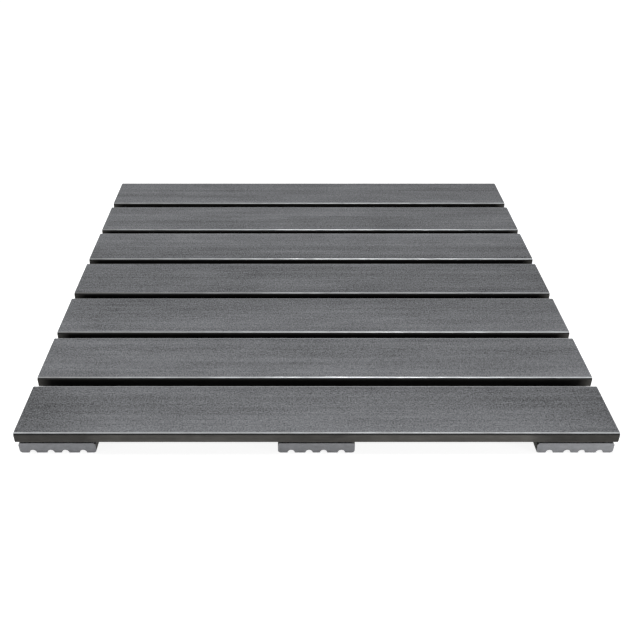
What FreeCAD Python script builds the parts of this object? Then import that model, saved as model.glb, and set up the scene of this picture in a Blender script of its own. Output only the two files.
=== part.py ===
# Slatted deck tile, one metre square: seven boards laid side by side with drainage gaps,
# screwed from underneath to three bearers. Boards and bearers are cut from one extruded
# wood-plastic plank, solid, with four rounded long edges and four half-round grooves in
# its underside. Boards lie smooth side up, bearers grooved side down.
#
# Millimetres. X runs along the boards, Y from the front board to the back one, Z up.
# The origin is on the ground, under the middle of the tile.

import FreeCAD, Part
import math
import os

# The plank
PLANK_WIDTH = 128.2
PLANK_THICKNESS = 21.0
CORNER_RADIUS = 5.0
GROOVE_RADIUS = 6.0
GROOVE_LIP_RADIUS = 1.0
INNER_GROOVE_OFFSET = 12.2  # from the plank's centre line to a groove's centre
OUTER_GROOVE_OFFSET = 42.0

# The deck of boards
BOARD_LENGTH = 1000.0
BOARD_GAP = 17.1
BOARD_DRIFT = (0.0, 3.0, 1.5, 1.0, 1.0, -1.5, 0.0)  # each board's slip back from its even place

# The bearers
BEARER_NAMES = ("left", "middle", "right")
BEARER_INSET = 4.5  # from the boards' sawn ends to the outer bearers' sides

# The countersunk screws, two at each crossing of a board and a bearer
HEAD_DIAMETER = 8.4
HEAD_RIM = 0.5
HEAD_DEPTH = 0.8  # from the bearer's underside to the head's face
SHANK_DIAMETER = 3.3
PLAIN_LENGTH = 12.0  # head and bare shank together
THREAD_DIAMETER = 4.5
THREAD_SHOULDER = 0.6
POINT_LENGTH = 4.0
POINT_FLAT_RADIUS = 0.3
TIP_COVER = 6.0  # board left between a screw's tip and the walking surface

# The six-lobed socket in each head
SOCKET_OUTER_DIAMETER = 3.95
SOCKET_INNER_DIAMETER = 2.85
SOCKET_LOBE_RADIUS = 0.305
SOCKET_DEPTH = 2.2
SOCKET_LOBES = 6

# The holes for the screws
WAY_CLEARANCE = 0.25  # between a thread's crest and the bearer's hole, which it passes freely
SINK_CLEARANCE = 0.3  # between a head's rim and the wall around it
PILOT_CLEARANCE = 0.05  # between a thread's crest and the wall it has cut
PILOT_OVERRUN = 1.0  # past the screw's tip, before the drill's cone
DRILL_POINT_ANGLE = math.radians(118.0)

# Places that follow from the sizes above
BOARD_COUNT = len(BOARD_DRIFT)
BOARD_PITCH = PLANK_WIDTH + BOARD_GAP
DECK_DEPTH = BOARD_COUNT * PLANK_WIDTH + (BOARD_COUNT - 1) * BOARD_GAP
BEARER_TOP = PLANK_THICKNESS
DECK_TOP = BEARER_TOP + PLANK_THICKNESS
LAND_OFFSET = (INNER_GROOVE_OFFSET + OUTER_GROOVE_OFFSET) / 2
SCREW_TIP = DECK_TOP - TIP_COVER
SCREW_LENGTH = SCREW_TIP - HEAD_DEPTH

UP = FreeCAD.Vector(0, 0, 1)
ORIGIN = FreeCAD.Vector(0, 0, 0)


def on_section(across, height):
    """A point of the plank's section, which stands in the YZ plane."""
    return FreeCAD.Vector(0, across, height)


def line(start, end):
    return Part.LineSegment(start, end).toShape()


def section_arc(across, height, radius, start, end):
    """An arc of the plank's section about a centre, between two angles in degrees."""
    points = []
    for angle in (start, (start + end) / 2, end):
        turn = math.radians(angle)
        points.append(on_section(across + radius * math.cos(turn), height + radius * math.sin(turn)))
    return Part.Arc(*points).toShape()


def groove_edges(centre):
    """One groove with its rounded lips, from left to right along the underside."""
    reach = math.sqrt((GROOVE_RADIUS + GROOVE_LIP_RADIUS) ** 2 - GROOVE_LIP_RADIUS**2)
    tilt = math.degrees(math.atan2(GROOVE_LIP_RADIUS, reach))
    return [
        section_arc(centre - reach, GROOVE_LIP_RADIUS, GROOVE_LIP_RADIUS, -90, -tilt),
        section_arc(centre, 0, GROOVE_RADIUS, 180 - tilt, tilt),
        section_arc(centre + reach, GROOVE_LIP_RADIUS, GROOVE_LIP_RADIUS, 180 + tilt, 270),
    ]


def joined_by_lines(pieces):
    """The arcs given in order, with straight edges between them, as a closed wire."""
    edges = []
    for piece, following in zip(pieces, pieces[1:] + pieces[:1]):
        edges.append(piece)
        end = piece.valueAt(piece.LastParameter)
        start = following.valueAt(following.FirstParameter)
        if end.distanceToPoint(start) > Part.Precision.confusion():
            edges.append(line(end, start))
    return Part.Wire(edges)


def plank_section():
    """The plank's closed outline: grooved underside at the bottom, smooth face on top."""
    side = PLANK_WIDTH / 2 - CORNER_RADIUS
    top = PLANK_THICKNESS - CORNER_RADIUS
    pieces = [section_arc(-side, CORNER_RADIUS, CORNER_RADIUS, 180, 270)]
    for centre in (-OUTER_GROOVE_OFFSET, -INNER_GROOVE_OFFSET, INNER_GROOVE_OFFSET, OUTER_GROOVE_OFFSET):
        pieces += groove_edges(centre)
    pieces.append(section_arc(side, CORNER_RADIUS, CORNER_RADIUS, -90, 0))
    pieces.append(section_arc(side, top, CORNER_RADIUS, 0, 90))
    pieces.append(section_arc(-side, top, CORNER_RADIUS, 90, 180))
    return Part.Face(joined_by_lines(pieces))


def make_plank(length):
    """A plank along X, centred on the origin, with its grooved underside at Z 0."""
    plank = plank_section().extrude(FreeCAD.Vector(length, 0, 0))
    plank.translate(FreeCAD.Vector(-length / 2, 0, 0))
    return plank


def turned(profile):
    """The solid turned about Z from (radius, height) points, both ends closed on the axis."""
    points = [FreeCAD.Vector(radius, 0, height) for radius, height in profile]
    face = Part.Face(Part.makePolygon(points + points[:1]))
    return face.revolve(ORIGIN, UP, 360)


def socket_tool():
    """The six-lobed prism cut from a head: small round lobes joined by tangent hollows."""
    lobe_place = SOCKET_OUTER_DIAMETER / 2 - SOCKET_LOBE_RADIUS
    inner = SOCKET_INNER_DIAMETER / 2
    half_step = math.pi / SOCKET_LOBES
    across = lobe_place * math.cos(half_step)
    # The hollow's radius that makes it touch both its lobes without a kink
    hollow = (SOCKET_LOBE_RADIUS**2 - inner**2 - lobe_place**2 + 2 * inner * across) / (
        2 * (inner - across - SOCKET_LOBE_RADIUS)
    )
    hollow_place = inner + hollow

    def at(distance, angle):
        return FreeCAD.Vector(distance * math.cos(angle), distance * math.sin(angle), 0)

    edges = []
    for number in range(SOCKET_LOBES):
        turn = 2 * half_step * number
        lobe = at(lobe_place, turn)
        before = at(hollow_place, turn - half_step)
        after = at(hollow_place, turn + half_step)
        following = at(lobe_place, turn + 2 * half_step)
        share = SOCKET_LOBE_RADIUS / (SOCKET_LOBE_RADIUS + hollow)
        lobe_start = lobe + (before - lobe) * share
        lobe_end = lobe + (after - lobe) * share
        hollow_end = following + (after - following) * share
        edges.append(Part.Arc(lobe_start, at(SOCKET_OUTER_DIAMETER / 2, turn), lobe_end).toShape())
        edges.append(Part.Arc(lobe_end, at(inner, turn + half_step), hollow_end).toShape())
    return Part.Face(Part.Wire(edges)).extrude(UP * SOCKET_DEPTH)


def make_screw():
    """A screw that points up from its head's face at Z 0. Its thread is a plain cylinder."""
    head = HEAD_DIAMETER / 2
    shank = SHANK_DIAMETER / 2
    thread = THREAD_DIAMETER / 2
    profile = [
        (0, 0),
        (head, 0),
        (head, HEAD_RIM),
        (shank, HEAD_RIM + head - shank),
        (shank, PLAIN_LENGTH),
        (thread, PLAIN_LENGTH + THREAD_SHOULDER),
        (thread, SCREW_LENGTH - POINT_LENGTH),
        (POINT_FLAT_RADIUS, SCREW_LENGTH),
        (0, SCREW_LENGTH),
    ]
    return turned(profile).cut(socket_tool())


def screw_hole_tool():
    """What a bearer loses to one screw: a wall round the head, a 90 degree seat, a way through."""
    head = HEAD_DIAMETER / 2
    wall = head + SINK_CLEARANCE
    hole = THREAD_DIAMETER / 2 + WAY_CLEARANCE
    rim_top = HEAD_DEPTH + HEAD_RIM
    profile = [
        (0, 0),
        (wall, 0),
        (wall, rim_top - SINK_CLEARANCE),
        (hole, rim_top + head - hole),
        (hole, BEARER_TOP),
        (0, BEARER_TOP),
    ]
    return turned(profile)


def pilot_tool():
    """What a board loses to one screw: a blind hole with the drill's cone at its end."""
    hole = THREAD_DIAMETER / 2 + PILOT_CLEARANCE
    wall_end = SCREW_TIP + PILOT_OVERRUN
    profile = [
        (0, BEARER_TOP),
        (hole, BEARER_TOP),
        (hole, wall_end),
        (0, wall_end + hole / math.tan(DRILL_POINT_ANGLE / 2)),
    ]
    return turned(profile)


def board_places():
    """The boards' centre lines along Y, from the front board to the back one."""
    first = (PLANK_WIDTH - DECK_DEPTH) / 2
    return [first + number * BOARD_PITCH + drift for number, drift in enumerate(BOARD_DRIFT)]


def bearer_places():
    """The bearers' centre lines along X, from left to right."""
    outer = (BOARD_LENGTH - PLANK_WIDTH) / 2 - BEARER_INSET
    step = 2 * outer / (len(BEARER_NAMES) - 1)
    return [-outer + number * step for number in range(len(BEARER_NAMES))]


def screw_places(bearers, boards):
    """Two screws at each crossing, on a diagonal, each in the middle of a land of both planks."""
    return [
        FreeCAD.Vector(x + side * LAND_OFFSET, y + side * LAND_OFFSET, 0)
        for x in bearers
        for y in boards
        for side in (-1, 1)
    ]


def copies(shape, places):
    return Part.makeCompound([shape.translated(place) for place in places])


def make_board(y):
    """A deck board on the bearers, with a pilot hole for each of its screws."""
    board = make_plank(BOARD_LENGTH)
    board.translate(FreeCAD.Vector(0, y, BEARER_TOP))
    return board.cut(copies(pilot_tool(), screw_places(bearer_places(), [y])))


def make_bearer(x):
    """A bearer across all the boards, with a countersunk hole for each of its screws."""
    bearer = make_plank(DECK_DEPTH)
    bearer.rotate(ORIGIN, UP, 90)
    bearer.translate(FreeCAD.Vector(x, 0, 0))
    return bearer.cut(copies(screw_hole_tool(), screw_places([x], board_places())))


def make_screws():
    """All the screws, each a solid of its own."""
    lift = UP * HEAD_DEPTH
    places = screw_places(bearer_places(), board_places())
    return copies(make_screw(), [place + lift for place in places])


def main():
    nodes = {"screws": make_screws()}
    for number, y in enumerate(board_places(), start=1):
        nodes[f"deck_board_{number}"] = make_board(y)
    for name, x in zip(BEARER_NAMES, bearer_places()):
        nodes[f"bearer_{name}"] = make_bearer(x)
    os.makedirs("parts", exist_ok=True)
    for name, shape in nodes.items():
        shape.exportStep(f"parts/{name}.step")
    return nodes


main()
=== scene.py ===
# The slatted deck tile as it looks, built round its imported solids.
# Metres, as in the frame: X along the boards, Y from the front board to the back one, Z up.

import math
from collections import namedtuple

import bmesh
import bpy
import numpy as np
from mathutils import Matrix, Vector, noise


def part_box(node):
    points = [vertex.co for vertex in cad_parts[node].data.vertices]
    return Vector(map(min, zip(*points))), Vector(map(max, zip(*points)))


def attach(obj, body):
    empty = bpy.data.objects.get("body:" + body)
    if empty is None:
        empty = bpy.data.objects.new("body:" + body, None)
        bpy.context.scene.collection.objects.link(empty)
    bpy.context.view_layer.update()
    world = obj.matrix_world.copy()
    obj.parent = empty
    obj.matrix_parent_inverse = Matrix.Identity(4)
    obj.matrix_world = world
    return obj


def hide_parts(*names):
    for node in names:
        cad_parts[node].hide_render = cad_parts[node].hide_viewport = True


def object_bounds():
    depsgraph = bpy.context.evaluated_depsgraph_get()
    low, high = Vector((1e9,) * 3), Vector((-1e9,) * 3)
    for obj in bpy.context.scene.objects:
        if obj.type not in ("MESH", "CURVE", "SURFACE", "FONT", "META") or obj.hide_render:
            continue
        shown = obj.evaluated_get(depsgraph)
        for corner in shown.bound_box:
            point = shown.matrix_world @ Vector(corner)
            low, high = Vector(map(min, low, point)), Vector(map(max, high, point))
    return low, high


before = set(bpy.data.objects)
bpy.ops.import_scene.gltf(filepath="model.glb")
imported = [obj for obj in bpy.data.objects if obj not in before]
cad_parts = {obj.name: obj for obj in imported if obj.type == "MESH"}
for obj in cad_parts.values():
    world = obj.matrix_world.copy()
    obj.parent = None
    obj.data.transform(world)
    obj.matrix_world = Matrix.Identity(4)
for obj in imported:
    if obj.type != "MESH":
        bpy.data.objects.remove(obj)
CAD_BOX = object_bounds()

BODY = "root"
MM = 0.001

# The plank's section, as the solids have it
CORNER_RADIUS = 5.0 * MM
GROOVE_RADIUS = 6.0 * MM
GROOVE_LIP_RADIUS = 1.0 * MM
GROOVE_OFFSETS = (-42.0 * MM, -12.2 * MM, 12.2 * MM, 42.0 * MM)

# The screws and their holes, as the solids have them
LAND_OFFSET = 27.1 * MM
HEAD_RADIUS = 4.2 * MM
HEAD_RIM = 0.5 * MM
HEAD_DEPTH = 0.8 * MM
SHANK_RADIUS = 1.65 * MM
PLAIN_LENGTH = 12.0 * MM
THREAD_RADIUS = 2.25 * MM
POINT_LENGTH = 4.0 * MM
POINT_FLAT_RADIUS = 0.3 * MM
SOCKET_OUTER_RADIUS = 1.975 * MM
SOCKET_INNER_RADIUS = 1.425 * MM
SOCKET_LOBE_RADIUS = 0.305 * MM
SOCKET_DEPTH = 2.2 * MM
SOCKET_LOBES = 6
SINK_CLEARANCE = 0.3 * MM
WAY_RADIUS = 2.5 * MM
PILOT_RADIUS = 2.3 * MM
PILOT_OVERRUN = 1.0 * MM
DRILL_POINT_ANGLE = math.radians(118.0)

# What only the visible screws have
THREAD_ROOT_RADIUS = 1.5 * MM
THREAD_PITCH = 2.6 * MM
SCREW_CHAMFER = 0.12 * MM
FACE_RING_RADIUS = 0.7 * HEAD_RADIUS
THREAD_PROFILE = (0.0, 0.0, 0.55, 1.0, 0.55)  # from root to crest, once round the pitch
SCREW_TURN = math.radians(137.5)  # from one screw's socket to the next one's

# How finely the screws and their holes are meshed
RING_STEPS = 48
THREAD_STEPS = 24
PILOT_STEPS = 24
SINK_STEPS = 32
MERGE_DISTANCE = 0.001 * MM  # a screw's points that are closer become one
TOOL_OVERRUN = 1.0 * MM  # how far a hole's tool reaches past the faces that it goes through

# Edges sharper than these, in degrees, stay crisp
PLANK_CREASE = 40
SCREW_CREASE = 35

# What the materials read at a point of the plain skin, away from the brushed face
SKIN_VALUES = {"turn": 1.0, "tone": 1.0, "wear": 0.0, "light": 1.0}

# How finely the planks are meshed
TOP_STEP = 0.6 * MM
HIDDEN_TOP_STEP = 2.0 * MM
LAND_STEP = 3.0 * MM
STATION_STEP = 12.0 * MM
CORNER_STEPS = 12
LIP_STEPS = 3
GROOVE_STEPS = 14
SIDE_STEPS = 5

# The faint relief of the brushed face, all of it below the plank's own top: how deep each kind
# goes, how long and wide its features are, and how far its noise lies from the bands' noise
BAND_DEPTH = 0.05 * MM
BAND_SIZE = (0.9, 16 * MM)
STREAK_DEPTH = 0.05 * MM
STREAK_SIZE = (0.07, 2.4 * MM)
STREAK_SHIFT = 31.7
EDGE_DROP = 0.14 * MM
EDGE_SIZE = (0.06, 1.0)  # each long edge has noise of its own, which has no width
EDGE_SHIFT = 77.1
EDGE_REACH = 9.0 * MM
END_ARRIS = 0.35 * MM

# Where each plank's own noise starts, so that no two look alike
BOARD_SEED_STEP = 3.7
BEARER_SEED = 41.3
BEARER_SEED_STEP = 5.3

# Each board's lightness beside the mean at its back edge, middle and front edge, front board first:
# partly each board's own tone, partly painted sheen and shade across its top
BOARD_TONES_AND_SHEEN = ((0.95, 0.99, 1.25), (0.92, 0.93, 1.12), (0.71, 0.88, 1.01), (0.81, 0.75, 0.76),
               (1.01, 0.85, 0.66), (0.79, 0.86, 0.79), (0.78, 0.81, 0.85))

# Painted shade on the front board's top: how light it is at its left and right ends, beside the rest
# of it, and how far in from them it changes
FRONT_END_SHADES = (0.62, 0.78)
FRONT_END_REACH = 150.0 * MM

# How strong the painted highlight on each board's long edges is, and how far they are rubbed
# smooth and glossy, at the left end, in the middle and at the right end, front board first
BOARD_WEAR_AND_HIGHLIGHT = ((0.75, 0.75, 0.85), (0.3, 1.4, 1.35), (0.25, 0.95, 0.95), (0.05, 0.6, 0.6),
              (0.5, 1.2, 1.25), (0.33, 1.15, 0.85), (0.4, 0.85, 0.85))
BEARER_WEAR_AND_HIGHLIGHT = 0.3
BEARER_TONES = {"bearer_left": 0.94, "bearer_middle": 0.95, "bearer_right": 0.94}

# Painted shade in the gaps: how light a board's side is deep inside a gap, beside one in the open, how
# far in from the sawn ends it gets so dark, and how far inwards over the rounded edges
GAP_LIGHT = 0.1
GAP_FADE = 20.0 * MM
SIDE_EDGE = 1.4 * MM

# Painted light and shade on the front board's open side: how light it is over the bearers and over
# the channels between them, in turn from left to right, and along what length it changes
FRONT_LIGHTS = (0.74, 1.17, 0.86, 1.2, 0.53)
FRONT_FADE = 40.0 * MM

# What makes the brushed face uneven: a pattern's length along the board, its width across it,
# its detail, and how much it changes the lightness
BRUSHED_PATTERNS = {
    "bands": (1.2, 16 * MM, 1.0, 0.5),
    "clouds": (0.36, 80 * MM, 2.0, 0.45),
    "patches": (0.15, 42 * MM, 2.0, 0.55),
    "lines": (0.3, 5.5 * MM, 1.0, 0.45),
    "streaks": (60 * MM, 2.6 * MM, 2.0, 0.3),
    "flecks": (14 * MM, 8 * MM, 2.0, 0.35),
    "fibres": (8 * MM, 4.2 * MM, 2.0, 0.85),
    "grain": (2.6 * MM, 3.0 * MM, 2.5, 2.9),
}

PATTERN_ROUGHNESS = 0.55  # how strong the patterns' finer detail is

# Other marks: a mark's length along the plank, its width across it, its detail, the noise at
# which it starts and at which it is full, and the number that it gives at both
MARKS = {
    "scuffs": (45 * MM, 2.2 * MM, 2.0, 0.62, 0.76, 0.0, 0.4),
    "stains": (70 * MM, 26 * MM, 3.0, 0.58, 0.74, 0.0, 0.12),
    "pits": (7 * MM, 3.5 * MM, 2.0, 0.68, 0.76, 1.0, 0.8),
    "smudges": (26 * MM, 13 * MM, 3.0, 0.3, 0.7, 0.84, 1.16),
    # Breaks in the edges' wear and in their painted highlight
    "gaps_in_wear_and_highlight": (40 * MM, 0.2, 3.0, 0.3, 0.65, 0.55, 1.0),
    "mottle": (9 * MM, 6 * MM, 3.0, 0.25, 0.75, 0.86, 1.14),
}

# The fine lines that the die left in the skin: their length and width, the range of their noise,
# and the skin's lightness at its ends
DIE_LINE_SIZE = (0.6, 1.1 * MM)
DIE_LINE_NOISE = (0.25, 0.75)
DIE_LINE_TONES = (0.85, 1.15)

# How strong each zone of the rounded edges is, in stops of how far the edge has turned: the zone
# with a painted highlight, where it is also rubbed smooth and glossy, the painted shade under it,
# and the gloss of what isn't rubbed
HIGHLIGHT_AND_WEAR_ZONE = ((0.0, 0.0), (0.1, 0.2), (0.19, 1.0), (0.39, 1.0), (0.47, 0.0))
SHADED_ZONE = ((0.38, 0.0), (0.47, 0.92), (0.68, 0.92), (0.84, 0.0))
PLAIN_GLOSS = ((0.0, 0.18), (0.49, 0.04))
SKIN_TURN = 0.35  # from where on there is only skin, and nothing brushed

# How rough the faces are, how much the streaks change it, and how rubbing smooths the faces and
# makes them glossy
FACE_ROUGHNESS = 0.55
STREAK_ROUGHNESS = 0.35
WORN_POLISH = 0.27
WORN_GLOSS = 0.85

# The faces' bumps, and each pattern's share in them
FACE_BUMP = 0.12 * MM
BUMP_SHARES = {"grain": 0.8, "streaks": 0.7, "fibres": 0.5}
SKIN_BUMP_TURN = 0.4  # from where on only the die's lines are left of them

# The sawn ends: their speckle, how rough they are, and the arcs that the blade left
SPECKLE_SIZE = (1.1 * MM, 1.1 * MM)
SPECKLE_DETAIL = 3.0
SPECKLE_ROUGHNESS = 0.7
SPECKLE_WEIGHT = 0.5
SAWN_ROUGHNESS = 0.7
SAWN_BUMP = 0.1 * MM
SAW_ARC_SIZE = (7 * MM, 7 * MM)
SAW_ARC_DISTORTION = 1.5

# The screws' steel: fine marks that make it more or less rough, and wider stains that make it
# darker or lighter, each with its size and the range of its noise
STEEL_MARK_SIZE = (0.5 * MM, 0.5 * MM, 0.15 * MM)
STEEL_MARK_DETAIL = 3.0
STEEL_MARK_NOISE = (0.2, 0.8)
STEEL_ROUGHNESS = (0.24, 0.42)
STEEL_STAIN_SIZE = (3 * MM, 3 * MM, 2 * MM)
STEEL_STAIN_NOISE = (0.3, 0.7)
STEEL_TONES = (0.85, 1.05)
STEEL_BUMP = 0.02 * MM

# Colours, linear
BRUSHED_GREY = (0.1252, 0.1282, 0.1352)
# The skin's warm tint is painted light: it stands in for warm light bounced up from the ground
SKIN_GREY = (0.122, 0.118, 0.110)
# The painted highlight on the rounded edges
PAINTED_HIGHLIGHT_GREY = (0.54, 0.565, 0.583)
SHADOW_GREY = (0.018, 0.018, 0.019)
SAWN_GREY = (0.436, 0.442, 0.466)
STEEL_GREY = (0.62, 0.61, 0.59)
FLOOR_GREY = (0.45, 0.45, 0.45)
WHITE = (1.0, 1.0, 1.0)

# How strongly the world lights the tile, beside the white that is seen of it
WORLD_LIGHT = 0.03

# The floor: half its side, how rough it is, how white it shows, and how far inside the tile's
# edges it starts to show white and does so fully
FLOOR_HALF = 12.0
FLOOR_ROUGHNESS = 0.9
FLOOR_GLOW = 0.9
GLOW_START = 60.0 * MM
GLOW_FULL = 25.0 * MM

# Each lamp's place, the place that it faces, its width and depth, and its power in watts
LAMPS = {
    "left_softbox": ((-2.2, 0.4, 2.7), (-0.1, 0.0, 0.0), (1.2, 1.4), 64.0),
    "arris_strip": ((0.32, 0.12, 2.3), (0.2, 0.0, 0.0), (1.3, 0.35), 38.0),
    "left_front_fill": ((-1.4, -1.05, 0.2), (-0.5, -0.5, 0.0), (0.6, 0.3), 3.4),
    "right_front_fill": ((1.4, -1.05, 0.2), (0.5, -0.5, 0.0), (0.6, 0.3), 7.4),
}

# The camera that took the photograph
FRAME_PIXELS = 636
FOCAL_PIXELS = 796.0
AXIS_COLUMN = 295.5  # the pixel column that the camera faces
AXIS_DROP = 0.85  # how many pixels below the frame's middle it faces
SENSOR_WIDTH = 36.0
CAMERA_PLACE = (-0.0348, -1.4837, 0.9252)
CAMERA_PITCH = math.radians(33.7)


def boards():
    """The deck boards' nodes from the front board to the back one."""
    return sorted(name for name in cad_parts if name.startswith("deck_board"))


def bearers():
    return sorted(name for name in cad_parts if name.startswith("bearer"))


def middle(node, axis):
    low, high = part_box(node)
    return (low[axis] + high[axis]) / 2


# Points of the plank's section

def arc(centre, radius, start, end, steps):
    """Points of an arc from its start up to, and without, its end. Angles in degrees."""
    angles = np.radians(np.linspace(start, end, steps + 1)[:-1])
    return [(centre[0] + radius * math.cos(a), centre[1] + radius * math.sin(a)) for a in angles]


def straight(start, end, steps):
    """Points of a straight stretch from its start up to, and without, its end."""
    shares = np.linspace(0.0, 1.0, steps + 1)[:-1]
    return [tuple(np.add(start, np.subtract(end, start) * share)) for share in shares]


def steps_for(length, step):
    return max(1, round(length / step))


def underside(half_width):
    """The grooved underside from left to right, between the lower corners' ends."""
    reach = math.sqrt((GROOVE_RADIUS + GROOVE_LIP_RADIUS) ** 2 - GROOVE_LIP_RADIUS**2)
    tilt = math.degrees(math.atan2(GROOVE_LIP_RADIUS, reach))
    points = []
    last = CORNER_RADIUS - half_width
    for centre in GROOVE_OFFSETS:
        left = centre - reach
        right = centre + reach
        points += straight((last, 0.0), (left, 0.0), steps_for(left - last, LAND_STEP))
        points += arc((left, GROOVE_LIP_RADIUS), GROOVE_LIP_RADIUS, -90, -tilt, LIP_STEPS)
        points += arc((centre, 0.0), GROOVE_RADIUS, 180 - tilt, tilt, GROOVE_STEPS)
        points += arc((right, GROOVE_LIP_RADIUS), GROOVE_LIP_RADIUS, 180 + tilt, 270, LIP_STEPS)
        last = right
    end = half_width - CORNER_RADIUS
    return points + straight((last, 0.0), (end, 0.0), steps_for(end - last, LAND_STEP))


def section(width, thickness, top_step):
    """The plank's outline as an array of across and height, and how far each point has turned
    from the top, at 0, over the rounded edge to the side, at 1."""
    side = width / 2 - CORNER_RADIUS
    low = CORNER_RADIUS
    high = thickness - CORNER_RADIUS
    top_steps = steps_for(2 * side, top_step)
    stretches = [
        (arc((-side, low), CORNER_RADIUS, 180, 270, CORNER_STEPS), (1.0, 1.0)),
        (underside(width / 2), (1.0, 1.0)),
        (arc((side, low), CORNER_RADIUS, -90, 0, CORNER_STEPS), (1.0, 1.0)),
        (straight((width / 2, low), (width / 2, high), SIDE_STEPS), (1.0, 1.0)),
        (arc((side, high), CORNER_RADIUS, 0, 90, CORNER_STEPS), (1.0, 0.0)),
        (straight((side, thickness), (-side, thickness), top_steps), (0.0, 0.0)),
        (arc((-side, high), CORNER_RADIUS, 90, 180, CORNER_STEPS), (0.0, 1.0)),
        (straight((-width / 2, high), (-width / 2, low), SIDE_STEPS), (1.0, 1.0)),
    ]
    points = []
    turns = []
    for stretch, (first, last) in stretches:
        points += stretch
        turns += list(np.linspace(first, last, len(stretch) + 1)[:-1])
    return np.array(points), np.array(turns)


def outward(points):
    """The unit normals of a closed outline that runs counterclockwise."""
    along = np.roll(points, -1, 0) - np.roll(points, 1, 0)
    normals = np.stack([along[:, 1], -along[:, 0]], 1)
    return normals / np.linalg.norm(normals, axis=1, keepdims=True)


# Planks

def soft_noise(along, across, seed, size):
    """Smooth noise from 0 to 1 whose features are about as long and wide as the size says."""
    length, width = size
    value = noise.noise(Vector((along / length, across / width, seed)))
    return min(1.0, max(0.0, 0.5 + value))


def relief(along, across, reach, seed):
    """How far the brushed face lies below the plank's flat top at a point."""
    inside = min(1.0, max(0.0, (reach - abs(across)) / EDGE_REACH))
    bands = soft_noise(along, across, seed, BAND_SIZE)
    streaks = soft_noise(along, across, seed + STREAK_SHIFT, STREAK_SIZE)
    wander = soft_noise(along, 0.0 if across > 0 else 1.0, seed + EDGE_SHIFT, EDGE_SIZE)
    flat = inside * inside * (3 - 2 * inside)
    return (BAND_DEPTH * bands + STREAK_DEPTH * streaks) * flat + EDGE_DROP * wander * (1 - flat)


def plank_stations(length):
    """The places along a plank that have a ring, with an arris at each sawn end."""
    half = length / 2
    inner = np.linspace(END_ARRIS - half, half - END_ARRIS, steps_for(length, STATION_STEP) + 1)
    return np.concatenate([[-half], inner, [half]])


def plank_rings(length, width, thickness, top_step, seed):
    """The rings of a plank's points, each along, across and height, and the points' turns."""
    outline, turns = section(width, thickness, top_step)
    normals = outward(outline)
    reach = width / 2 - CORNER_RADIUS
    rings = []
    stations = plank_stations(length)
    for along in stations:
        ring = outline.copy()
        if along in (stations[0], stations[-1]):
            ring -= normals * END_ARRIS
        for number in np.flatnonzero(turns < 1):
            hold = math.cos(turns[number] * math.pi / 2)
            ring[number, 1] -= hold * relief(along, outline[number, 0], reach, seed)
        rings.append(np.column_stack([np.full(len(ring), along), ring]))
    return np.array(rings), turns


def ring_faces(rings, count):
    """Quads between neighbouring rings of count points, wound to face outwards."""
    faces = []
    for ring in range(rings - 1):
        for point in range(count):
            following = (point + 1) % count
            faces.append((ring * count + point, ring * count + following,
                          (ring + 1) * count + following, (ring + 1) * count + point))
    return faces


def plank_map(rings, offset):
    """For each corner of the plank's faces, its distance along it and around its section."""
    stations, count = rings.shape[:2]
    steps = np.linalg.norm(np.roll(rings[1], -1, 0) - rings[1], axis=1)
    around = np.concatenate([[0.0], np.cumsum(steps)])
    corners = []
    for ring in range(stations - 1):
        near = rings[ring, 0, 0]
        far = rings[ring + 1, 0, 0]
        for point in range(count):
            corners += [(near, around[point]), (near, around[point + 1]),
                        (far, around[point + 1]), (far, around[point])]
    for ring in (rings[0][::-1], rings[-1]):
        corners += [(across, height) for _, across, height in ring]
    return np.array(corners) + offset


def add_values(mesh, name, values):
    """A number for each vertex, which the materials read."""
    attribute = mesh.attributes.new(name, "FLOAT", "POINT")
    attribute.data.foreach_set("value", np.asarray(values, np.float32))


def open_light(along):
    """How light a side in the open is, at places along it."""
    return np.ones_like(along)


def gap_light(along):
    """The painted shade on a side beside a gap: how light it is at places along it."""
    depth = np.clip((along.max() - np.abs(along)) / GAP_FADE, 0.0, 1.0)
    return 1.0 + (GAP_LIGHT - 1.0) * depth


def front_light(along):
    """The painted light and shade on the front board's open side: how light it is at places along it.
    """
    bearer_sides = sorted(corner.x for node in bearers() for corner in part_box(node))
    changes = bearer_sides[1:-1]
    places = [x + side * FRONT_FADE / 2 for x in changes for side in (-1, 1)]
    lights = [light for pair in zip(FRONT_LIGHTS, FRONT_LIGHTS[1:]) for light in pair]
    return np.interp(along, places, lights)


def skin_light(rings, width, side_lights):
    """How light the painted light and shade make the skin at each point: as its side's light there, and
    1 away from the sides.
    """
    along = rings[..., 0]
    across = rings[..., 1]
    on_side = np.clip((np.abs(across) - width / 2) / SIDE_EDGE + 1.0, 0.0, 1.0)
    front, back = [light(along) for light in side_lights]
    return 1.0 + (np.where(across < 0, front, back) - 1.0) * on_side


def plank_tone(rings, width, turns, finish_and_light):
    """The lightness at each point, with painted sheen and shade on the boards' tops and painted shade
    at the front board's ends. The sawn ends and the sides leave the end shades out.
    """
    stations = rings[:, 0, 0]
    across_tone = np.interp(-rings[..., 1], (-width / 2, 0.0, width / 2), finish_and_light.tones)
    # Painted shade towards the ends of the front board's top
    left, right = finish_and_light.end_tones
    half = stations[-1]
    inner = half - FRONT_END_REACH
    along_tone = np.interp(stations, (-half, -inner, inner, half), (left, 1.0, 1.0, right))
    along_tone[[0, -1]] = 1.0
    return across_tone * (1.0 + np.outer(along_tone - 1.0, 1.0 - turns))


# How a plank's finish and its painted light vary: its lightness at the back edge, in the middle and at
# the front edge, on the boards partly painted sheen and shade; the painted shade on the top at the left
# and right ends, beside the rest; how strong the painted highlight on its edges is, and how far they
# are rubbed smooth and glossy, at the left end, in the middle and at the right end; and the functions
# that give the painted light and shade along its front side and its back one
FinishAndLight = namedtuple("FinishAndLight", "tones end_tones wear side_lights")


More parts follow.
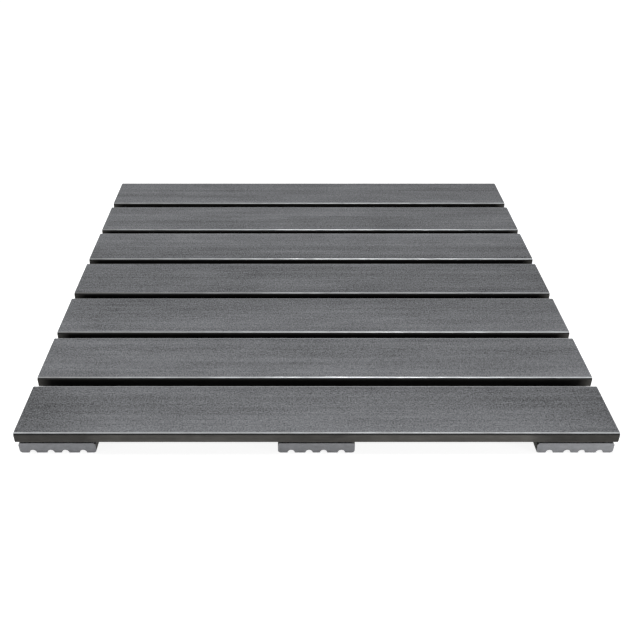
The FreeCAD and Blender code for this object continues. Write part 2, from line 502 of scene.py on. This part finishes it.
def make_plank(name, size, top_step, seed, finish_and_light):
    """A plank along X round the origin, underside at Z 0, with its sawn ends as second material."""
    length, width, thickness = size
    rings, turns = plank_rings(length, width, thickness, top_step, seed)
    stations, count = rings.shape[:2]
    faces = ring_faces(stations, count)
    first = range(count)
    last = range((stations - 1) * count, stations * count)
    faces += [tuple(reversed(first)), tuple(last)]
    mesh = bpy.data.meshes.new(name)
    mesh.from_pydata(rings.reshape(-1, 3).tolist(), [], faces)
    layer = mesh.uv_layers.new(name="plank")
    layer.uv.foreach_set("vector", plank_map(rings, seed).astype(np.float32).ravel())
    add_values(mesh, "turn", np.tile(turns, stations))
    # Painted light rides on these values: sheen and shade in the tone, the edges' highlight with their
    # wear, and shade in the gaps and along the front side in the light
    add_values(mesh, "tone", plank_tone(rings, width, turns, finish_and_light).ravel())
    along = rings[..., 0].ravel()
    add_values(mesh, "wear", np.interp(along, (-length / 2, 0.0, length / 2), finish_and_light.wear))
    add_values(mesh, "light", skin_light(rings, width, finish_and_light.side_lights).ravel())
    # Both ends and the arris round each are sawn
    sawn = np.zeros(len(faces), np.int32)
    sawn[-2:] = 1
    sawn[:count] = 1
    sawn[-count - 2:-2] = 1
    mesh.polygons.foreach_set("material_index", sawn)
    return mesh


def circle(shape, radius, height, steps):
    """A ring of points round the Z axis."""
    angles = np.arange(steps) * 2 * math.pi / steps
    return [shape.verts.new((radius * math.cos(a), radius * math.sin(a), height)) for a in angles]


def turned_tool(profile, steps):
    """A closed solid turned about Z from (radius, height) points that start and end on the axis."""
    shape = bmesh.new()
    rings = [circle(shape, radius, height, steps) for radius, height in profile[1:-1]]
    bottom = shape.verts.new((0.0, 0.0, profile[0][1]))
    top = shape.verts.new((0.0, 0.0, profile[-1][1]))
    for number in range(steps):
        following = (number + 1) % steps
        shape.faces.new((bottom, rings[0][following], rings[0][number]))
        shape.faces.new((top, rings[-1][number], rings[-1][following]))
        for lower, upper in zip(rings, rings[1:]):
            shape.faces.new((lower[number], lower[following], upper[following], upper[number]))
    return shape


def copied(shape, places):
    """A mesh with a copy of the shape at each place."""
    mesh = bpy.data.meshes.new("copies")
    shape.to_mesh(mesh)
    whole = bmesh.new()
    for place in places:
        mesh.transform(Matrix.Translation(place))
        whole.from_mesh(mesh)
        mesh.transform(Matrix.Translation(-Vector(place)))
    whole.to_mesh(mesh)
    whole.free()
    shape.free()
    return mesh


def give_skin_values(mesh):
    """Gives the points that a cut made, which have no tone yet, the values of a plain skin."""
    tones = np.empty(len(mesh.vertices), np.float32)
    mesh.attributes["tone"].data.foreach_get("value", tones)
    for index in np.flatnonzero(tones == 0):
        for name, value in SKIN_VALUES.items():
            mesh.attributes[name].data[index].value = value


def cut(piece, tool_mesh):
    """Takes the tool's solids out of the piece's mesh. Their walls get the skin's finish."""
    for name, value in SKIN_VALUES.items():
        add_values(tool_mesh, name, np.full(len(tool_mesh.vertices), value))
    tool_mesh.materials.append(piece.data.materials[0])
    tool = bpy.data.objects.new("tool", tool_mesh)
    bpy.context.scene.collection.objects.link(tool)
    modifier = piece.modifiers.new("holes", "BOOLEAN")
    modifier.operation = "DIFFERENCE"
    modifier.solver = "MANIFOLD"
    modifier.object = tool
    graph = bpy.context.evaluated_depsgraph_get()
    finished = bpy.data.meshes.new_from_object(piece.evaluated_get(graph))
    piece.modifiers.clear()
    give_skin_values(finished)
    piece.data = finished
    bpy.data.objects.remove(tool)


def smooth(mesh, angle):
    """Smooth shading, with edges sharper than the angle, in degrees, kept crisp."""
    mesh.shade_smooth()
    mesh.set_sharp_from_angle(angle=math.radians(angle))


def crossing_places(xs, ys):
    """Two screws at each crossing, on a diagonal."""
    return [Vector((x + side * LAND_OFFSET, y + side * LAND_OFFSET, 0.0))
            for x in xs for y in ys for side in (-1, 1)]


def add_piece(name, mesh, materials, slot, *nodes):
    piece = bpy.data.objects.new(name, mesh)
    bpy.context.scene.collection.objects.link(piece)
    for material in materials:
        mesh.materials.append(material)
    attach(piece, BODY)
    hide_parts(*nodes)
    return piece


def add_board(number, node, materials, screw_tip, bearer_xs):
    """A deck board with its brushed face up, in place of its solid."""
    low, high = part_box(node)
    size = high - low
    seed = BOARD_SEED_STEP * (number + 1)
    is_first = number == 0
    is_last = number == len(boards()) - 1
    # Painted shade in the gaps, and painted light and shade on the front board's open side and at its
    # ends
    side_lights = (front_light if is_first else gap_light, open_light if is_last else gap_light)
    end_tones = FRONT_END_SHADES if is_first else (1.0, 1.0)
    finish_and_light = FinishAndLight(BOARD_TONES_AND_SHEEN[number], end_tones, BOARD_WEAR_AND_HIGHLIGHT[number], side_lights)
    mesh = make_plank(node, size, TOP_STEP, seed, finish_and_light)
    mesh.transform(Matrix.Translation((middle(node, 0), middle(node, 1), low.z)))
    board = add_piece(f"brushed_board_{number + 1}", mesh, materials, "brushed_composite", node)
    mouth = low.z - TOOL_OVERRUN
    wall_end = screw_tip + PILOT_OVERRUN
    pilot = [(0.0, mouth), (PILOT_RADIUS, mouth), (PILOT_RADIUS, wall_end),
             (0.0, wall_end + PILOT_RADIUS / math.tan(DRILL_POINT_ANGLE / 2))]
    cut(board, copied(turned_tool(pilot, PILOT_STEPS), crossing_places(bearer_xs, [middle(node, 1)])))
    smooth(board.data, PLANK_CREASE)


def add_bearer(node, materials, board_ys):
    """A bearer along Y with its grooves down, in place of its solid."""
    low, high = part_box(node)
    size = (high.y - low.y, high.x - low.x, high.z - low.z)
    seed = BEARER_SEED + BEARER_SEED_STEP * middle(node, 0)
    # The bearers' edges get a faint painted highlight too
    finish_and_light = FinishAndLight((BEARER_TONES[node],) * 3, (1.0, 1.0), (BEARER_WEAR_AND_HIGHLIGHT,) * 3, (open_light, open_light))
    mesh = make_plank(node, size, HIDDEN_TOP_STEP, seed, finish_and_light)
    mesh.transform(Matrix.Rotation(math.radians(90), 4, "Z"))
    mesh.transform(Matrix.Translation((middle(node, 0), middle(node, 1), low.z)))
    bearer = add_piece(f"grooved_{node}", mesh, materials, "bearer_composite", node)
    wall = HEAD_RADIUS + SINK_CLEARANCE
    rim_top = HEAD_DEPTH + HEAD_RIM
    way_top = high.z + TOOL_OVERRUN
    sink = [(0.0, -TOOL_OVERRUN), (wall, -TOOL_OVERRUN), (wall, rim_top - SINK_CLEARANCE),
            (WAY_RADIUS, rim_top + HEAD_RADIUS - WAY_RADIUS), (WAY_RADIUS, way_top), (0.0, way_top)]
    cut(bearer, copied(turned_tool(sink, SINK_STEPS), crossing_places([middle(node, 0)], board_ys)))
    smooth(bearer.data, PLANK_CREASE)


# Screws

def socket_radius(angle):
    """The radius of the six-lobed socket's outline at an angle."""
    period = 2 * math.pi / SOCKET_LOBES
    turn = (angle + period / 2) % period - period / 2
    place = SOCKET_OUTER_RADIUS - SOCKET_LOBE_RADIUS
    half = period / 2
    across = place * math.cos(half)
    # The hollow's radius that makes it touch both its lobes without a kink
    inner = SOCKET_INNER_RADIUS
    hollow = (SOCKET_LOBE_RADIUS**2 - inner**2 - place**2 + 2 * inner * across) / (
        2 * (inner - across - SOCKET_LOBE_RADIUS))
    reach = SOCKET_LOBE_RADIUS**2 - (place * math.sin(turn)) ** 2
    if reach > 0:
        on_lobe = place * math.cos(turn) + math.sqrt(reach)
    else:
        on_lobe = 0.0
    centre = inner + hollow
    away = half - abs(turn)
    reach = hollow**2 - (centre * math.sin(away)) ** 2
    if reach > 0:
        on_hollow = centre * math.cos(away) - math.sqrt(reach)
    else:
        on_hollow = SOCKET_OUTER_RADIUS
    return max(on_lobe, min(on_hollow, SOCKET_OUTER_RADIUS)) if on_lobe else on_hollow


def lobed(shape, spread, height, steps):
    """A ring with the socket's outline, made wider all round by spread."""
    ring = []
    for angle in np.arange(steps) * 2 * math.pi / steps:
        radius = socket_radius(angle) + spread
        ring.append(shape.verts.new((radius * math.cos(angle), radius * math.sin(angle), height)))
    return ring


def bridge(shape, lower, upper):
    """Faces between two rings, the second of which may have half as many points."""
    ratio = len(lower) // len(upper)
    for number in range(len(upper)):
        a = lower[ratio * number]
        b = lower[(ratio * number + 1) % len(lower)]
        d = upper[number]
        e = upper[(number + 1) % len(upper)]
        if ratio == 1:
            shape.faces.new((a, b, e, d))
        else:
            c = lower[(ratio * number + 2) % len(lower)]
            shape.faces.new((a, b, d))
            shape.faces.new((b, e, d))
            shape.faces.new((b, c, e))


def add_thread(shape, start, end, point_start):
    """The threaded length up to the point, as one helical sheet whose ends are level rings."""
    rows_per_turn = len(THREAD_PROFILE)
    rows = math.ceil((end - start) / THREAD_PITCH + 1) * rows_per_turn
    grid = []
    for row in range(rows + 1):
        crest = THREAD_PROFILE[row % rows_per_turn]
        line = []
        for column in range(THREAD_STEPS):
            turn = column / THREAD_STEPS
            height = start + (row / rows_per_turn + turn - 1) * THREAD_PITCH
            height = min(end, max(start, height))
            run_in = min(1.0, (height - start) / THREAD_PITCH)
            taper = min(1.0, (end - height) / (end - point_start))
            root = THREAD_ROOT_RADIUS
            radius = root + (THREAD_RADIUS - root) * crest * run_in
            radius = POINT_FLAT_RADIUS + (radius - POINT_FLAT_RADIUS) * taper
            angle = 2 * math.pi * turn
            line.append(shape.verts.new((radius * math.cos(angle), radius * math.sin(angle), height)))
        grid.append(line)
    for row in range(rows):
        for column in range(THREAD_STEPS):
            wraps = column == THREAD_STEPS - 1
            beyond = row + rows_per_turn if wraps else row
            if beyond + 1 > rows:
                continue
            following = 0 if wraps else column + 1
            shape.faces.new((grid[row][column], grid[beyond][following],
                             grid[beyond + 1][following], grid[row + 1][column]))
    return grid[0], grid[-1]


def screw_shape(length):
    """One screw that points up, with the face of its head at Z 0."""
    shape = bmesh.new()
    centre = shape.verts.new((0.0, 0.0, SOCKET_DEPTH))
    cone_end = HEAD_RIM + HEAD_RADIUS - SHANK_RADIUS
    rings = [
        lobed(shape, 0.0, SOCKET_DEPTH, RING_STEPS),
        lobed(shape, 0.0, SCREW_CHAMFER, RING_STEPS),
        lobed(shape, SCREW_CHAMFER, 0.0, RING_STEPS),
        circle(shape, FACE_RING_RADIUS, 0.0, RING_STEPS),
        circle(shape, HEAD_RADIUS - SCREW_CHAMFER, 0.0, RING_STEPS),
        circle(shape, HEAD_RADIUS, SCREW_CHAMFER, RING_STEPS),
        circle(shape, HEAD_RADIUS, HEAD_RIM, RING_STEPS),
        circle(shape, SHANK_RADIUS, cone_end, RING_STEPS),
        circle(shape, SHANK_RADIUS, PLAIN_LENGTH - THREAD_PITCH / 4, RING_STEPS),
    ]
    for number in range(RING_STEPS):
        shape.faces.new((centre, rings[0][(number + 1) % RING_STEPS], rings[0][number]))
    for inner, outer in zip(rings, rings[1:]):
        bridge(shape, inner, outer)
    start_ring, end_ring = add_thread(shape, PLAIN_LENGTH, length, length - POINT_LENGTH)
    bridge(shape, rings[-1], start_ring)
    shape.faces.new(end_ring)
    bmesh.ops.remove_doubles(shape, verts=shape.verts, dist=MERGE_DISTANCE)
    bmesh.ops.dissolve_degenerate(shape, edges=shape.edges, dist=MERGE_DISTANCE)
    bmesh.ops.recalc_face_normals(shape, faces=shape.faces)
    return shape


def add_screws(material, bearer_xs, board_ys):
    """All the screws as one piece, in place of their solids."""
    low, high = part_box("screws")
    shape = screw_shape(high.z - low.z)
    single = bpy.data.meshes.new("screw")
    shape.to_mesh(single)
    shape.free()
    whole = bmesh.new()
    for number, place in enumerate(crossing_places(bearer_xs, board_ys)):
        turn = Matrix.Rotation(SCREW_TURN * number, 4, "Z")
        stand = Matrix.Translation(place + Vector((0.0, 0.0, low.z))) @ turn
        single.transform(stand)
        whole.from_mesh(single)
        single.transform(stand.inverted())
    mesh = bpy.data.meshes.new("screws")
    whole.to_mesh(mesh)
    whole.free()
    add_piece("threaded_screws", mesh, [material], "screw_steel", "screws")
    smooth(mesh, SCREW_CREASE)


# Materials

class Shader:
    """The nodes of a material or of the world, with short calls for those that it needs."""

    def __init__(self, owner, main):
        self.tree = owner.node_tree
        self.main = self.tree.nodes[main]

    def node(self, kind, **settings):
        made = self.tree.nodes.new(kind)
        for name, value in settings.items():
            setattr(made, name, value)
        return made

    def put(self, socket, value):
        """Links an output to a socket, or sets the socket's own value."""
        if isinstance(value, bpy.types.NodeSocket):
            self.tree.links.new(value, socket)
        elif isinstance(value, tuple) and len(value) == 3 and socket.type == "RGBA":
            socket.default_value = (*value, 1.0)
        else:
            socket.default_value = value

    def plank_place(self):
        return self.node("ShaderNodeUVMap", uv_map="plank").outputs["UV"]

    def value(self, name):
        return self.node("ShaderNodeAttribute", attribute_name=name).outputs["Fac"]

    def stretched(self, place, lengths):
        """The place in units of the given lengths, so that noise has features of about that size."""
        mapping = self.node("ShaderNodeMapping")
        self.put(mapping.inputs["Vector"], place)
        for axis, length in enumerate(lengths):
            mapping.inputs["Scale"].default_value[axis] = 1 / length
        return mapping.outputs["Vector"]

    def noise(self, place, lengths, detail=2.0, roughness=0.5):
        texture = self.node("ShaderNodeTexNoise", noise_dimensions="3D")
        self.put(texture.inputs["Vector"], self.stretched(place, lengths))
        texture.inputs["Scale"].default_value = 1.0
        texture.inputs["Detail"].default_value = detail
        texture.inputs["Roughness"].default_value = roughness
        return texture.outputs["Fac"]

    def math(self, operation, *values):
        made = self.node("ShaderNodeMath", operation=operation)
        for socket, value in zip(made.inputs, values):
            self.put(socket, value)
        return made.outputs["Value"]

    def spread(self, value, low, high, new_low=0.0, new_high=1.0):
        """The value moved from one range to another, held within the new one."""
        made = self.node("ShaderNodeMapRange")
        for name, number in (("Value", value), ("From Min", low), ("From Max", high),
                             ("To Min", new_low), ("To Max", new_high)):
            self.put(made.inputs[name], number)
        return made.outputs["Result"]

    def marks(self, place, kind):
        """The number that the marks of a kind give."""
        length, width, detail, start, full, plain, marked = MARKS[kind]
        return self.spread(self.noise(place, (length, width), detail), start, full, plain, marked)

    def mix(self, share, first, second):
        made = self.node("ShaderNodeMix", data_type="RGBA")
        self.put(made.inputs[0], share)
        self.put(made.inputs[6], first)
        self.put(made.inputs[7], second)
        return made.outputs[2]

    def scaled(self, colour, factor):
        """A colour made lighter or darker by a factor."""
        made = self.node("ShaderNodeVectorMath", operation="SCALE")
        self.put(made.inputs[0], colour)
        self.put(made.inputs["Scale"], factor)
        return made.outputs["Vector"]

    def curve(self, value, stops):
        """A smooth number that passes through (place, number) stops."""
        ramp = self.node("ShaderNodeValToRGB")
        ramp.color_ramp.interpolation = "EASE"
        elements = ramp.color_ramp.elements
        while len(elements) < len(stops):
            elements.new(0.5)
        for element, (place, number) in zip(elements, stops):
            element.position = place
            element.color = (number, number, number, 1.0)
        self.put(ramp.inputs["Fac"], value)
        return ramp.outputs["Color"]

    def bump(self, height, distance):
        made = self.node("ShaderNodeBump")
        self.put(made.inputs["Height"], height)
        made.inputs["Distance"].default_value = distance
        self.put(self.main.inputs["Normal"], made.outputs["Normal"])


def new_material(name):
    """A material and the shader that its nodes are added to."""
    material = bpy.data.materials.new(name)
    material.use_nodes = True
    return material, Shader(material, "Principled BSDF")


def brushed_colour(shader, place, tone, patterns):
    """The brushed face: the patterns laid over its tone, with light scuffs, dark stains and pits."""
    lightness = tone
    for name, (_, _, _, weight) in BRUSHED_PATTERNS.items():
        centred = shader.math("SUBTRACT", patterns[name], 0.5)
        lightness = shader.math("MULTIPLY_ADD", centred, weight, lightness)
    scuffed = shader.math("ADD", lightness, shader.marks(place, "scuffs"))
    stained = shader.math("SUBTRACT", scuffed, shader.marks(place, "stains"))
    pitted = shader.math("MULTIPLY", stained, shader.marks(place, "pits"))
    return shader.scaled(BRUSHED_GREY, pitted)


def skin_colour(shader, place, tone, die_lines):
    """The smooth skin of the sides and the underside, with painted shade inside the gaps and painted
    light and shade along the front board's open side.
    """
    lined = shader.math("MULTIPLY", tone, shader.spread(die_lines, *DIE_LINE_NOISE, *DIE_LINE_TONES))
    smudged = shader.math("MULTIPLY", lined, shader.marks(place, "smudges"))
    return shader.scaled(SKIN_GREY, shader.math("MULTIPLY", smudged, shader.value("light")))


def face_material():
    """The extruded faces: a brushed top, rounded edges with a painted highlight and painted shade under
    it, rubbed smooth and glossy, and a smooth skin painted darker inside the gaps as shade.
    """
    material, shader = new_material("composite_face")
    place = shader.plank_place()
    turn = shader.value("turn")
    tone = shader.value("tone")
    patterns = {}
    for name, (length, width, detail, _) in BRUSHED_PATTERNS.items():
        patterns[name] = shader.noise(place, (length, width), detail, PATTERN_ROUGHNESS)
    die_lines = shader.noise(place, DIE_LINE_SIZE)
    # The painted highlight on the rounded edges, which also marks where they are rubbed smooth and
    # glossy
    highlight_and_wear_zone = shader.curve(turn, HIGHLIGHT_AND_WEAR_ZONE)
    wear = shader.math("MULTIPLY", shader.value("wear"), shader.marks(place, "gaps_in_wear_and_highlight"))
    highlight_and_wear_share = shader.math("MULTIPLY", wear, highlight_and_wear_zone)

    brushed = brushed_colour(shader, place, tone, patterns)
    skin = skin_colour(shader, place, tone, die_lines)
    colour = shader.mix(shader.spread(turn, 0.0, SKIN_TURN), brushed, skin)
    # A painted highlight on the rounded edges, and painted shade under it
    colour = shader.mix(highlight_and_wear_share, colour, PAINTED_HIGHLIGHT_GREY)
    colour = shader.mix(shader.curve(turn, SHADED_ZONE), colour, SHADOW_GREY)
    shader.put(shader.main.inputs["Base Color"], colour)

    streaks = shader.math("SUBTRACT", patterns["streaks"], 0.5)
    roughness = shader.math("MULTIPLY_ADD", streaks, STREAK_ROUGHNESS, FACE_ROUGHNESS)
    polish = shader.math("MULTIPLY", highlight_and_wear_share, WORN_POLISH)
    shader.put(shader.main.inputs["Roughness"], shader.math("SUBTRACT", roughness, polish))
    gloss = shader.math("MULTIPLY_ADD", highlight_and_wear_share, WORN_GLOSS, shader.curve(turn, PLAIN_GLOSS))
    shader.put(shader.main.inputs["Specular IOR Level"], gloss)

    height = 0.0
    for name, share in BUMP_SHARES.items():
        height = shader.math("MULTIPLY_ADD", patterns[name], share, height)
    shader.bump(shader.mix(shader.spread(turn, 0.0, SKIN_BUMP_TURN), height, die_lines), FACE_BUMP)
    return material


def sawn_material():
    """The sawn ends: lighter, mottled, with the blade's shallow arcs."""
    material, shader = new_material("composite_sawn")
    place = shader.plank_place()
    speckle = shader.noise(place, SPECKLE_SIZE, SPECKLE_DETAIL, SPECKLE_ROUGHNESS)
    lightness = shader.math("MULTIPLY", shader.value("tone"), shader.marks(place, "mottle"))
    centred = shader.math("SUBTRACT", speckle, 0.5)
    lightness = shader.math("MULTIPLY_ADD", centred, SPECKLE_WEIGHT, lightness)
    shader.put(shader.main.inputs["Base Color"], shader.scaled(SAWN_GREY, lightness))
    shader.put(shader.main.inputs["Roughness"], SAWN_ROUGHNESS)
    arcs = shader.node("ShaderNodeTexWave", wave_type="RINGS", rings_direction="Z")
    shader.put(arcs.inputs["Vector"], shader.stretched(place, SAW_ARC_SIZE))
    arcs.inputs["Scale"].default_value = 1.0
    arcs.inputs["Distortion"].default_value = SAW_ARC_DISTORTION
    shader.bump(shader.math("ADD", arcs.outputs["Fac"], speckle), SAWN_BUMP)
    return material


def steel_material():
    """Plain stainless steel with the fine marks of its forming."""
    material, shader = new_material("screw_steel")
    place = shader.node("ShaderNodeTexCoord").outputs["Object"]
    marks = shader.noise(place, STEEL_MARK_SIZE, STEEL_MARK_DETAIL)
    stains = shader.noise(place, STEEL_STAIN_SIZE)
    shade = shader.spread(stains, *STEEL_STAIN_NOISE, *STEEL_TONES)
    shader.put(shader.main.inputs["Base Color"], shader.scaled(STEEL_GREY, shade))
    shader.put(shader.main.inputs["Metallic"], 1.0)
    roughness = shader.spread(marks, *STEEL_MARK_NOISE, *STEEL_ROUGHNESS)
    shader.put(shader.main.inputs["Roughness"], roughness)
    shader.bump(marks, STEEL_BUMP)
    return material


# Surroundings

def seen_directly(shader):
    """1 for what the camera, a mirror or glass sees, 0 for what only receives light."""
    path = shader.node("ShaderNodeLightPath").outputs
    seen = shader.math("MAXIMUM", path["Is Camera Ray"], path["Is Glossy Ray"])
    return shader.math("MAXIMUM", seen, path["Is Transmission Ray"])


def add_floor():
    """A plain pale floor that shows nearly white and keeps the tile's shadow."""
    corners = [(x * FLOOR_HALF, y * FLOOR_HALF, 0.0) for x, y in ((-1, -1), (1, -1), (1, 1), (-1, 1))]
    mesh = bpy.data.meshes.new("floor")
    mesh.from_pydata(corners, [], [(0, 1, 2, 3)])
    material, shader = new_material("floor")
    shader.put(shader.main.inputs["Base Color"], FLOOR_GREY)
    shader.put(shader.main.inputs["Roughness"], FLOOR_ROUGHNESS)
    shader.put(shader.main.inputs["Emission Color"], WHITE)
    place = shader.node("ShaderNodeSeparateXYZ")
    shader.put(place.inputs["Vector"], shader.node("ShaderNodeTexCoord").outputs["Object"])
    outside = shader.math("MAXIMUM", shader.math("ABSOLUTE", place.outputs["X"]),
                          shader.math("ABSOLUTE", place.outputs["Y"]))
    tile_edge = CAD_BOX[1][0]
    # Painted shade under the tile: the white glow is left out there, so the floor under the tile shows
    # darker
    open_share = shader.spread(outside, tile_edge - GLOW_START, tile_edge - GLOW_FULL)
    glow = shader.math("MULTIPLY", open_share, FLOOR_GLOW)
    shown = shader.math("MULTIPLY", seen_directly(shader), glow)
    shader.put(shader.main.inputs["Emission Strength"], shown)
    floor = bpy.data.objects.new("floor", mesh)
    mesh.materials.append(material)
    bpy.context.scene.collection.objects.link(floor)


def add_world():
    """White where it is seen, and a low even light elsewhere."""
    world = bpy.data.worlds.new("studio")
    bpy.context.scene.world = world
    world.use_nodes = True
    shader = Shader(world, "Background")
    shader.put(shader.main.inputs["Color"], WHITE)
    strength = shader.spread(seen_directly(shader), 0.0, 1.0, WORLD_LIGHT, 1.0)
    shader.put(shader.main.inputs["Strength"], strength)


def add_softbox(name, place, target, size, power):
    light = bpy.data.lights.new(name, "AREA")
    light.shape = "RECTANGLE"
    light.size, light.size_y = size
    light.energy = power
    lamp = bpy.data.objects.new(name, light)
    bpy.context.scene.collection.objects.link(lamp)
    lamp.location = place
    lamp.rotation_euler = (Vector(target) - Vector(place)).to_track_quat("-Z", "Y").to_euler()


def add_camera():
    """The photograph's own view: no turn to either side, and the frame cropped off-centre."""
    lens = bpy.data.cameras.new("camera")
    lens.sensor_width = SENSOR_WIDTH
    lens.lens = FOCAL_PIXELS / FRAME_PIXELS * SENSOR_WIDTH
    lens.shift_x = (FRAME_PIXELS / 2 - AXIS_COLUMN) / FRAME_PIXELS
    lens.shift_y = AXIS_DROP / FRAME_PIXELS
    camera = bpy.data.objects.new("camera", lens)
    bpy.context.scene.collection.objects.link(camera)
    camera.location = CAMERA_PLACE
    camera.rotation_euler = (math.pi / 2 - CAMERA_PITCH, 0.0, 0.0)
    bpy.context.scene.camera = camera


def build():
    add_camera()
    planks = [face_material(), sawn_material()]
    bearer_xs = [middle(node, 0) for node in bearers()]
    board_ys = [middle(node, 1) for node in boards()]
    screw_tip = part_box("screws")[1].z
    for number, node in enumerate(boards()):
        add_board(number, node, planks, screw_tip, bearer_xs)
    for node in bearers():
        add_bearer(node, planks, board_ys)
    add_screws(steel_material(), bearer_xs, board_ys)
    add_floor()
    add_world()
    for name, settings in LAMPS.items():
        add_softbox(name, *settings)
    bpy.context.scene.view_settings.view_transform = "Standard"


build()
